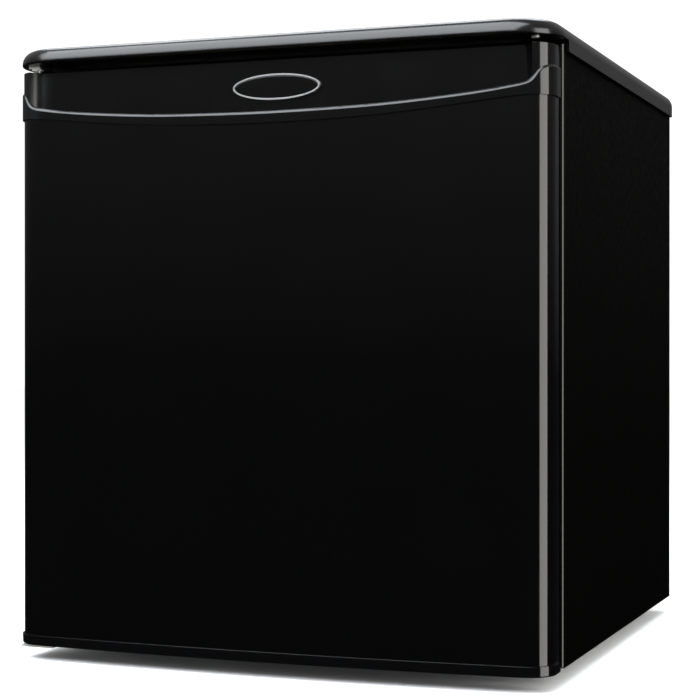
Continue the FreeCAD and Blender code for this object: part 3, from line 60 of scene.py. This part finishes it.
class Finish:
    """A surface finish: constant shader values, and patterns that vary over the surface."""

    def __init__(self, name, **constants):
        self.material = bpy.data.materials.new(name)
        self.material.use_nodes = True
        self.tree = self.material.node_tree
        self.shader = self.tree.nodes["Principled BSDF"]
        self.where = self.node("ShaderNodeTexCoord", {}, output="Object")
        for key, value in constants.items():
            socket = self.shader.inputs[key.replace("_", " ")]
            socket.default_value = (*value, 1) if isinstance(value, tuple) else value

    def node(self, kind, settings, *inputs, output=0, **named):
        """Adds one node: its settings first, then what feeds its sockets, by order or by name."""
        made = self.tree.nodes.new(kind)
        for key, value in settings.items():
            setattr(made, key, value)
        feeds = list(zip(made.inputs, inputs))
        feeds += [(made.inputs[key.replace("_", " ")], value) for key, value in named.items()]
        for socket, value in feeds:
            if isinstance(value, Value):
                self.tree.links.new(value.socket, socket)
            elif value is not None:
                socket.default_value = value
        return Value(self, made.outputs[output])

    def feed(self, name, value):
        self.tree.links.new(value.socket, self.shader.inputs[name])

    def noise(self, size, detail=2.0, stretch=(1, 1, 1)):
        """Soft random values from 0 to 1, with blotches of a size in metres, closer where stretch is more."""
        placed = self.node("ShaderNodeMapping", {}, self.where, Scale=tuple(s / size for s in stretch))
        return self.node("ShaderNodeTexNoise", {}, Vector=placed, Scale=1.0, Detail=detail)

    def ramp(self, value, start, end, low=0.0, high=1.0):
        """A value stretched from one range to another, and clamped there."""
        return self.node("ShaderNodeMapRange", {"clamp": True}, value, start, end, low, high)

    def blend(self, mask, first, second):
        """One colour or the other, by a mask."""
        made = self.tree.nodes.new("ShaderNodeMix")
        made.data_type = "RGBA"
        factor, colour_a, colour_b = 0, 6, 7
        for place, value in ((factor, mask), (colour_a, first), (colour_b, second)):
            if isinstance(value, Value):
                self.tree.links.new(value.socket, made.inputs[place])
            else:
                made.inputs[place].default_value = (*value, 1)
        return Value(self, made.outputs[2])

    def relief(self, value, depth, edge=0.0004):
        """Height in metres over the surface, on edges that are slightly rounded."""
        rounded = self.node("ShaderNodeBevel", {"samples": 4}, Radius=edge)
        bump = self.node("ShaderNodeBump", {}, Strength=1.0, Distance=depth, Height=value, Normal=rounded)
        self.feed("Normal", bump)


def paint(finish, *nodes):
    """Gives a finish to pieces that keep their made shape."""
    for name in nodes:
        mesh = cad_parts[name].data
        mesh.materials.clear()
        mesh.materials.append(finish.material)


def black_moulding(name, smoothest, roughest):
    """Black plastic from a polished mould: gives the finish, and the roughness of its wiping marks."""
    made = Finish(name, Base_Color=(0.001, 0.001, 0.0011))
    made.relief(made.noise(0.06), 0.00006)
    wipes = made.noise(0.02, 4.0, (1, 0.15, 1))
    return made, made.ramp(wipes, 0.3, 0.75, smoothest, roughest)


gloss_black, gloss = black_moulding("gloss_black", 0.075, 0.14)
gloss_black.feed("Roughness", gloss)
paint(gloss_black, "door_bottom_cap", "badge_plate")

# ---------------------------------------------------------------- worktop
# A black injection-moulded lid, screwed down on the roof sheet from behind. Its polish is slightly softer
# than the caps', so that a lamp's edge is blurred along its rounded nose.
worktop_black, soft_gloss = black_moulding("worktop_black", 0.16, 0.24)
worktop_black.feed("Roughness", soft_gloss)
paint(worktop_black, "worktop")

# ---------------------------------------------------------------- door's top cap
# The same black moulding as the bottom cap, with the hand pocket sunk in it. The hinge end of the pocket
# is left a little more matt, as the mould can't be polished so far in.
cap_black, polish = black_moulding("cap_black", 0.075, 0.14)
pocket_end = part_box("door_top_cap")[0][0] + 0.012
pocket_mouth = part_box("badge_rim")[0][1] - 0.013
end_fade, mouth_fade, extra_roughness = 0.02, 0.002, 0.25
across = cap_black.node("ShaderNodeSeparateXYZ", {}, cap_black.where, output="X")
inside = cap_black.node("ShaderNodeSeparateXYZ", {}, cap_black.where, output="Y")
matt = cap_black.ramp(across, pocket_end, pocket_end + end_fade, 1.0, 0.0)
matt = matt * cap_black.ramp(inside, pocket_mouth, pocket_mouth + mouth_fade, 0.0, 1.0)
cap_black.feed("Roughness", polish + matt * extra_roughness)
paint(cap_black, "door_top_cap")

# ---------------------------------------------------------------- door skin
# One sheet of pre-painted steel, bent round the door's sides and held between the two caps. Its black film
# is smooth enough to mirror a lamp with a sharp edge.
door_black = Finish("door_black", Base_Color=(0.0007, 0.0007, 0.0007))
door_black.feed("Roughness", door_black.ramp(door_black.noise(0.05, 4.0), 0.3, 0.7, 0.07, 0.12))
door_black.relief(door_black.noise(0.05, 2.0), 0.00002, 0.0003)
paint(door_black, "door_skin")

# ---------------------------------------------------------------- side panels and front rails
# Coated sheet steel with a fine orange-peel texture in the paint, which keeps the wide faces dull. The front
# fold of each panel, next to the door, is stretched smooth and shines.
side_black = Finish("side_black", Base_Color=(0.0007, 0.0007, 0.0006), Specular_IOR_Level=0.02,
                    Coat_Roughness=0.12)
side_black.feed("Roughness", side_black.ramp(side_black.noise(0.004, 3.0), 0.3, 0.7, 0.42, 0.58))
fold_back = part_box("side_panel_right")[0][1] + 0.0022
fold_fade = 0.001
depth = side_black.node("ShaderNodeSeparateXYZ", {}, side_black.where, output="Y")
side_black.feed("Coat Weight", side_black.ramp(depth, fold_back, fold_back + fold_fade, 1.0, 0.0))
side_black.relief(side_black.noise(0.0011, 2.0), 0.00004, 0.0004)
paint(side_black, "side_panel_left", "side_panel_right", "front_rail_top", "front_rail_bottom")

# ---------------------------------------------------------------- bare sheet metal
# Zinc-coated steel, cut and folded: the roof under the worktop, the base, the back and the channel
# that carries the compressor. The zinc's crystals show as a faint spangle.
zinc = Finish("zinc", Metallic=0.6)
grains_per_metre = 90.0
grains = zinc.node("ShaderNodeMapping", {}, zinc.where, Scale=(grains_per_metre,) * 3)
spangle = zinc.node("ShaderNodeTexVoronoi", {"feature": "F1"}, Vector=grains, Scale=1.0, output="Color")
shade = zinc.node("ShaderNodeSeparateColor", {}, spangle)
zinc.feed("Base Color", zinc.blend(shade, (0.36, 0.37, 0.39), (0.52, 0.53, 0.55)))
zinc.feed("Roughness", zinc.ramp(shade, 0.0, 1.0, 0.3, 0.5))
zinc.relief(zinc.noise(0.02), 0.00008)
paint(zinc, "roof_sheet", "base_sheet", "back_panel", "compressor_channel")

# ---------------------------------------------------------------- liners
# The cabinet's and the door's inner walls, each vacuum-formed from one sheet of white polystyrene with a
# soft gloss. The foam behind holds them.
liner_white = Finish("liner_white", Base_Color=(0.46, 0.47, 0.465), Subsurface_Weight=0.05)
liner_white.feed("Roughness", liner_white.ramp(liner_white.noise(0.03, 3.0), 0.3, 0.7, 0.26, 0.4))
liner_white.relief(liner_white.noise(0.015), 0.00012, 0.001)
paint(liner_white, "inner_liner", "door_liner")

# ---------------------------------------------------------------- insulation
# Polyurethane foam poured between the shell and the liners, where it sets and holds them together. It
# is hidden in the finished refrigerator.
foam = Finish("foam", Base_Color=(0.75, 0.62, 0.32), Roughness=0.95)
foam.relief(foam.noise(0.0015, 4.0), 0.0004)
paint(foam, "cabinet_insulation", "door_insulation")

# ---------------------------------------------------------------- door seal
# A soft black magnetic profile snapped into a groove round the back of the door. The compressor's
# grommets are the same black rubber.
rubber = Finish("rubber", Base_Color=(0.012, 0.012, 0.013))
rubber.feed("Roughness", rubber.ramp(rubber.noise(0.01, 4.0), 0.3, 0.7, 0.5, 0.7))
rubber.relief(rubber.noise(0.0008, 2.0), 0.00003, 0.0008)
paint(rubber, "door_seal", "compressor_grommets")

# ---------------------------------------------------------------- matte black plastic
# Small moulded pieces with a fine spark-eroded grain: plugs, feet and their sockets, wall spacers, the
# compressor's terminal cover, hinge bushes, and the clips of the condenser and the ice compartment.
matte_black = Finish("matte_black", Base_Color=(0.012, 0.012, 0.012), Roughness=0.55)
matte_black.relief(matte_black.noise(0.0005, 2.0), 0.00003, 0.0004)
paint(matte_black, "spare_hole_plugs", "foot_sockets", "rear_feet", "wall_spacers", "terminal_cover",
      "front_foot_left", "front_foot_right", "door_hinge_bushes", "condenser_clips", "evaporator_hangers")

# ---------------------------------------------------------------- bright steel
# Zinc-plated turned pieces: the hinge pins, the screws, the compressor's bolts, and the small bright plug
# under the worktop's front corner.
bright = Finish("bright_steel", Base_Color=(0.62, 0.62, 0.6), Metallic=0.8)
bright.feed("Roughness", bright.ramp(bright.noise(0.002, 3.0, (1, 0.1, 1)), 0.3, 0.7, 0.22, 0.38))
bright.relief(bright.noise(0.0006, 2.0), 0.00001, 0.0003)
paint(bright, "top_hinge_pin", "bottom_hinge_pin", "worktop_screws", "worktop_plug", "hinge_screws",
      "compressor_bolts")

# ---------------------------------------------------------------- hinge brackets
# Pressed steel plates under black paint, screwed to the roof and the base. The upper one's front edge is
# rubbed bare by the door.
hinge_black = Finish("hinge_black")
black_paint, bare_steel = (0.004, 0.004, 0.004), (0.6, 0.58, 0.52)
bare_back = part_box("top_hinge_bracket")[0][1] + 0.0016
bare_fade = 0.0004
forward = hinge_black.node("ShaderNodeSeparateXYZ", {}, hinge_black.where, output="Y")
bare = hinge_black.ramp(forward, bare_back, bare_back + bare_fade, 1.0, 0.0)
hinge_black.feed("Base Color", hinge_black.blend(bare, black_paint, bare_steel))
hinge_black.feed("Metallic", bare * 0.7)
hinge_black.feed("Roughness", hinge_black.ramp(hinge_black.noise(0.003, 3.0), 0.3, 0.7, 0.4, 0.6))
hinge_black.relief(hinge_black.noise(0.0008, 2.0), 0.00002, 0.0003)
paint(hinge_black, "top_hinge_bracket", "bottom_hinge_bracket")

# ---------------------------------------------------------------- badge rim
# Silver film hot-stamped on the raised oval rim of the moulded badge, which stands in the hand pocket's
# back wall.
badge_silver = Finish("badge_silver", Base_Color=(0.42, 0.42, 0.43), Metallic=0.75, Roughness=0.3)
badge_silver.relief(badge_silver.noise(0.002, 2.0), 0.00002, 0.0002)
paint(badge_silver, "badge_rim")

# ---------------------------------------------------------------- compressor
# A welded steel can under thick black enamel, bolted to the channel through grommets. The condenser at
# the back, steel tube with wires welded across it, has the same enamel.
enamel = Finish("enamel", Base_Color=(0.008, 0.008, 0.009), Coat_Weight=0.3)
enamel.feed("Roughness", enamel.ramp(enamel.noise(0.008, 4.0), 0.3, 0.7, 0.2, 0.42))
enamel.relief(enamel.noise(0.004, 2.0), 0.0001)
paint(enamel, "compressor_can", "compressor_feet", "condenser_tube", "condenser_wires", "discharge_tube")

# ---------------------------------------------------------------- copper
# Drawn copper tubes, brazed together and dulled by handling and heat: the drier, the capillary, the
# suction tube and the thermostat's sensing tube.
copper = Finish("copper", Metallic=0.75)
tarnish = copper.noise(0.012, 5.0)
clean_copper, dull_copper = (0.68, 0.34, 0.22), (0.36, 0.2, 0.14)
copper.feed("Base Color", copper.blend(copper.ramp(tarnish, 0.35, 0.7), clean_copper, dull_copper))
copper.feed("Roughness", copper.ramp(tarnish, 0.3, 0.7, 0.25, 0.5))
paint(copper, "filter_drier", "capillary_tube", "suction_tube", "sensing_tube")

# ---------------------------------------------------------------- ice compartment
# Roll-bonded aluminium sheet folded into an open box and hung from the liner's ceiling. The grain of
# the rolled sheet runs from front to back.
aluminium = Finish("aluminium", Base_Color=(0.6, 0.61, 0.62), Metallic=0.7, Roughness=0.38)
aluminium.relief(aluminium.noise(0.0008, 3.0, (1, 0.05, 1)), 0.00002)
paint(aluminium, "evaporator")

# ---------------------------------------------------------------- inner mouldings
# Injection-moulded plastic inside the cabinet: white for the ice compartment's frame and flap and for the
# thermostat, grey for the drain pan and the tray's rails.
moulded_white = Finish("moulded_white", Base_Color=(0.5, 0.51, 0.52), Roughness=0.4, Subsurface_Weight=0.05)
moulded_white.relief(moulded_white.noise(0.0006, 2.0), 0.00002, 0.0008)
paint(moulded_white, "ice_frame", "thermostat_housing", "thermostat_knob", "ice_flap")
moulded_grey = Finish("moulded_grey", Base_Color=(0.5, 0.51, 0.52), Roughness=0.5)
moulded_grey.relief(moulded_grey.noise(0.0006, 2.0), 0.00002)
paint(moulded_grey, "drain_pan", "tray_rails")

# ---------------------------------------------------------------- drip tray and door bins
# Clear moulded polystyrene: the tray hangs under the ice compartment on its rails, and the bins hang by
# slots in their ends on bosses of the door liner.
clear = Finish("clear_plastic", Base_Color=(0.86, 0.92, 0.94), Roughness=0.08, IOR=1.49,
               Transmission_Weight=0.9)
clear.relief(clear.noise(0.02), 0.00005, 0.0005)
paint(clear, "drip_tray", "door_bin_lower", "door_bin_middle")

# ---------------------------------------------------------------- shelves
# Steel wire welded across a bent frame, under white powder paint. They rest on runners in the liner, free to
# slide forward.
wire_white = Finish("wire_white", Base_Color=(0.54, 0.55, 0.55), Roughness=0.3)
wire_white.relief(wire_white.noise(0.002, 2.0), 0.00003)
paint(wire_white, "upper_shelf", "lower_shelf")

# ---------------------------------------------------------------- floor and light
# A plain pale floor, and soft rectangular lamps: a tall one at the right, whose reflection is the strip on
# the door's corner, a wide one high in front for the worktop's nose, and a weak one high behind.
bpy.ops.object.select_all(action="DESELECT")
bpy.ops.mesh.primitive_plane_add(size=16, location=(0, 0, 0))
floor = bpy.context.object
floor.name = "floor"
pale = Finish("pale_floor", Base_Color=(0.9, 0.9, 0.9), Roughness=0.9)
floor.data.materials.append(pale.material)
floor.visible_glossy = False


def lamp(name, place, aim, width, height, watts, colour=(1, 1, 1)):
    """A soft rectangular lamp turned towards a point."""
    data = bpy.data.lights.new(name, "AREA")
    data.shape = "RECTANGLE"
    data.size = width
    data.size_y = height
    data.energy = watts
    data.color = colour
    made = bpy.data.objects.new(name, data)
    made.location = place
    made.rotation_euler = (Vector(aim) - Vector(place)).to_track_quat("-Z", "Y").to_euler()
    bpy.context.collection.objects.link(made)


lamp("lamp_right", (1.51, -0.457, 0.35), (0.215, -0.205, 0.35), 0.86, 1.7, 22, (1, 0.98, 0.95))
lamp("lamp_top", (-0.2, -1.2, 1.75), (0.05, -0.25, 0.49), 2.5, 2.1, 112, (0.9, 0.95, 1))
lamp("lamp_back", (-0.45, 1.0, 1.95), (0.1, -0.2, 0.49), 1.6, 0.9, 20, (0.88, 0.94, 1))

# A white room to the eye; in the gloss it is darker, and dims towards the floor.
world = bpy.data.worlds.new("world")
world.use_nodes = True
room = world.node_tree
backdrop = room.nodes["Background"]
backdrop.inputs["Color"].default_value = (1, 1, 1, 1)
where = room.nodes.new("ShaderNodeTexCoord")
parts = room.nodes.new("ShaderNodeSeparateXYZ")
fade = room.nodes.new("ShaderNodeMapRange")
pick = room.nodes.new("ShaderNodeMix")
ray = room.nodes.new("ShaderNodeLightPath")
for name, value in (("From Min", -0.02), ("From Max", 0.5), ("To Min", 0.01), ("To Max", 0.38)):
    fade.inputs[name].default_value = value
pick.inputs["A"].default_value = 1.15
room.links.new(where.outputs["Generated"], parts.inputs[0])
room.links.new(parts.outputs["Z"], fade.inputs["Value"])
room.links.new(ray.outputs["Is Glossy Ray"], pick.inputs["Factor"])
room.links.new(fade.outputs["Result"], pick.inputs["B"])
room.links.new(pick.outputs["Result"], backdrop.inputs["Strength"])
bpy.context.scene.world = world
bpy.context.scene.view_settings.view_transform = "Standard"
